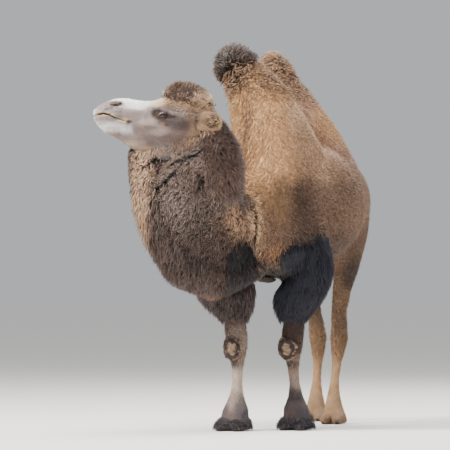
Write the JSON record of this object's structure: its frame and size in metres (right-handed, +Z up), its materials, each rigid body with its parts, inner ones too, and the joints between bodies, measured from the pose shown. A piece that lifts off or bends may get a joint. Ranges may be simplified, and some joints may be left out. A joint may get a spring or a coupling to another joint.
{
  "type": "bactrian camel",
  "caption": "Life-size standing Bactrian camel, a still museum model: humps leaning to its right, long beard, mane and arm hair, head turned to its right with the chin raised.",
  "frame": {"origin": "on the floor, under the middle of the whole model's box", "axes": "+Z up, the animal faces -Y, its left side is +X"},
  "size_m": [1.1616, 2.3546, 2.2445],
  "materials": {
    "fawn_wool": "short dense wool, mottled tan and grey-brown",
    "grey_brown_wool": "crimped wool in locks, grey-brown with tan tips",
    "dark_hair": "long straight or woolly hair, dark brown to black",
    "pale_muzzle_hair": "very short flat hair, off-white to grey",
    "nail": "worn dark horn",
    "callus": "cracked dry horny skin",
    "eye": "wet dark brown"
  },
  "bodies": {
    "root": {"arm_hair_left": "dark_hair", "arm_hair_right": "dark_hair", "beard": "grey_brown_wool", "chest_pad": "callus", "ear_left": "fawn_wool", "ear_right": "fawn_wool", "eye_left": "eye", "eye_right": "eye", "forelock": "grey_brown_wool", "front_hump": "fawn_wool", "front_hump_tuft": "dark_hair", "front_left_foot": "dark_hair", "front_left_lower_leg": "grey_brown_wool", "front_left_nail_left": "nail", "front_left_nail_right": "nail", "front_left_upper_leg": "fawn_wool", "front_right_foot": "dark_hair", "front_right_lower_leg": "grey_brown_wool", "front_right_nail_left": "nail", "front_right_nail_right": "nail", "front_right_upper_leg": "fawn_wool", "head": "fawn_wool", "hind_left_foot": "grey_brown_wool", "hind_left_lower_leg": "grey_brown_wool", "hind_left_nail_left": "nail", "hind_left_nail_right": "nail", "hind_left_upper_leg": "fawn_wool", "hind_right_foot": "grey_brown_wool", "hind_right_lower_leg": "grey_brown_wool", "hind_right_nail_left": "nail", "hind_right_nail_right": "nail", "hind_right_upper_leg": "fawn_wool", "knee_pad_left": "callus", "knee_pad_right": "callus", "lower_jaw": "pale_muzzle_hair", "mane": "dark_hair", "neck": "grey_brown_wool", "rear_hump": "fawn_wool", "rear_hump_tuft": "grey_brown_wool", "tail": "fawn_wool", "tail_tuft": "dark_hair", "trunk": "fawn_wool"}
  },
  "joints": []
}
